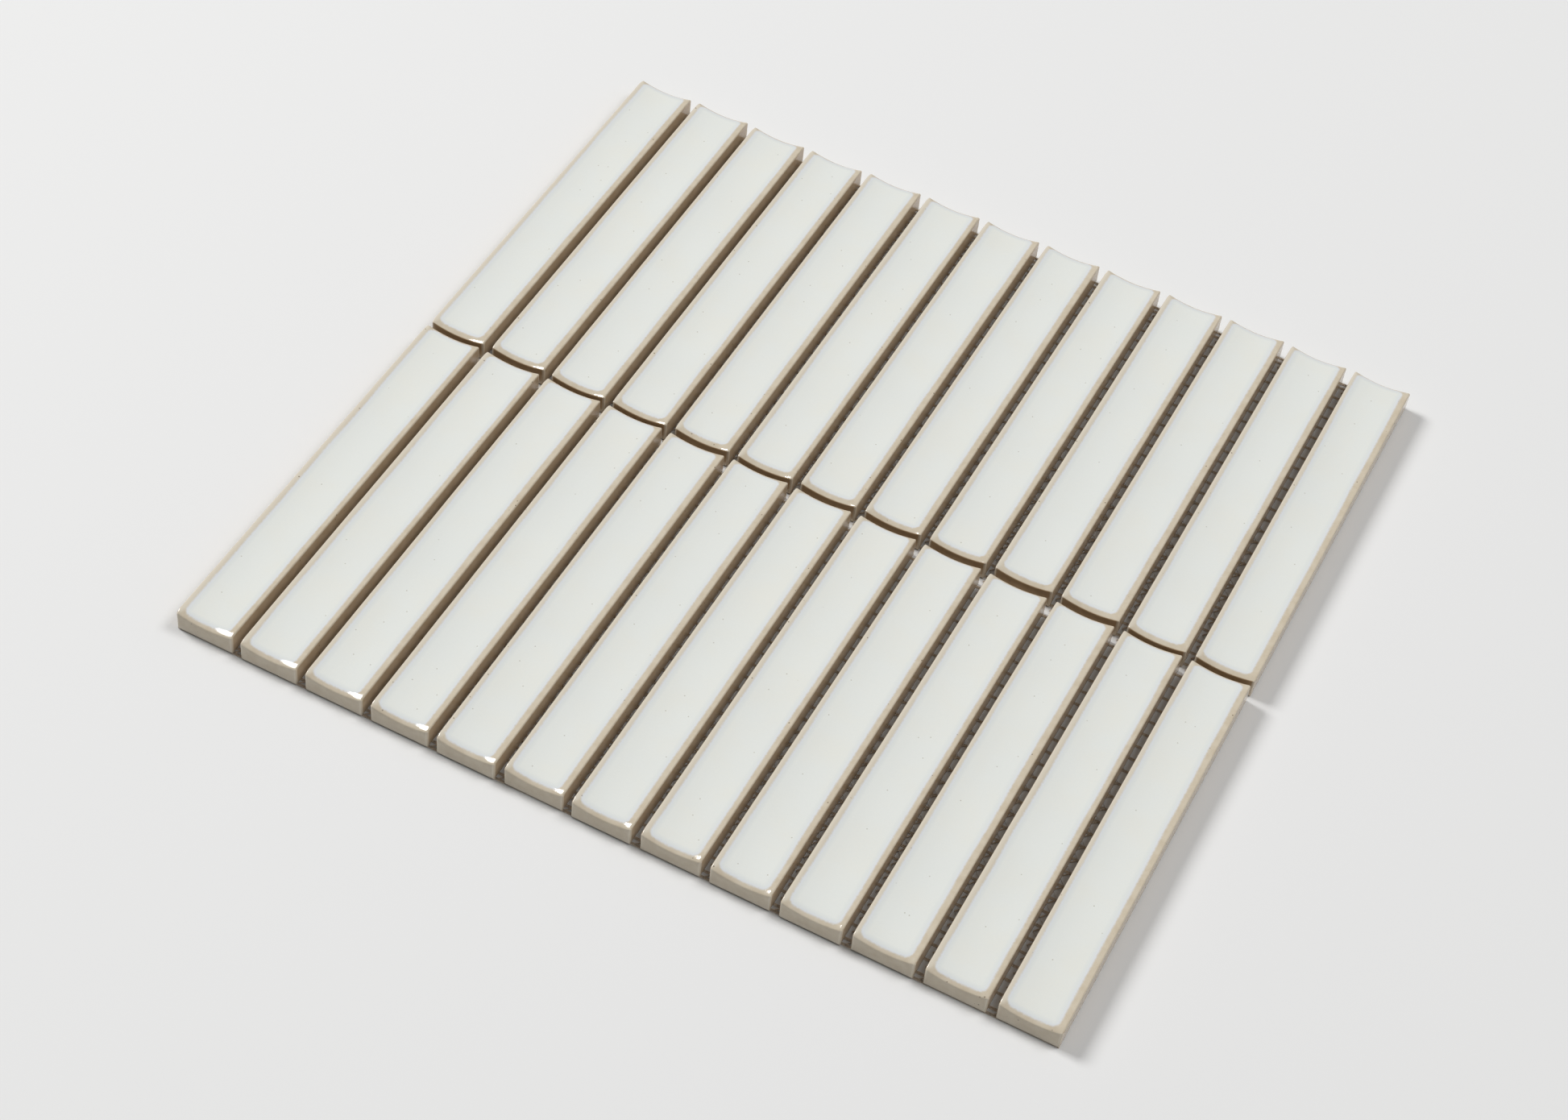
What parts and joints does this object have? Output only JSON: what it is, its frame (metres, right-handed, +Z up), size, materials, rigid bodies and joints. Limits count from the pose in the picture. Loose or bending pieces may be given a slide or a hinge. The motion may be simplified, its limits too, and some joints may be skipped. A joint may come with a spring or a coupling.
{
  "type": "mesh-mounted finger mosaic tile sheet",
  "caption": "Flat mosaic sheet: long narrow glazed tiles with a hollow pale top and bare beige rims, laid side by side in two rows on a backing net.",
  "frame": {"origin": "centre of the sheet's footprint at the underside of the backing net, where it meets the floor or the adhesive bed", "axes": "+X across the tiles, from the first column to the last; +Y along the tiles, from the front row to the back row; +Z up out of the glazed face"},
  "size_m": [0.2964, 0.2928, 0.008],
  "materials": {
    "glazed_stoneware": "glossy pale celadon glaze in the hollow, thin warm beige at the rims, matt taupe-beige clay on the ends, sides and back",
    "net_yarn": "translucent white fibre yarn"
  },
  "bodies": {
    "root": {"back_tile_01": "glazed_stoneware", "back_tile_02": "glazed_stoneware", "back_tile_03": "glazed_stoneware", "back_tile_04": "glazed_stoneware", "back_tile_05": "glazed_stoneware", "back_tile_06": "glazed_stoneware", "back_tile_07": "glazed_stoneware", "back_tile_08": "glazed_stoneware", "back_tile_09": "glazed_stoneware", "back_tile_10": "glazed_stoneware", "back_tile_11": "glazed_stoneware", "back_tile_12": "glazed_stoneware", "back_tile_13": "glazed_stoneware", "front_tile_01": "glazed_stoneware", "front_tile_02": "glazed_stoneware", "front_tile_03": "glazed_stoneware", "front_tile_04": "glazed_stoneware", "front_tile_05": "glazed_stoneware", "front_tile_06": "glazed_stoneware", "front_tile_07": "glazed_stoneware", "front_tile_08": "glazed_stoneware", "front_tile_09": "glazed_stoneware", "front_tile_10": "glazed_stoneware", "front_tile_11": "glazed_stoneware", "front_tile_12": "glazed_stoneware", "front_tile_13": "glazed_stoneware", "net_rungs": "net_yarn", "net_stringers": "net_yarn"}
  },
  "joints": []
}
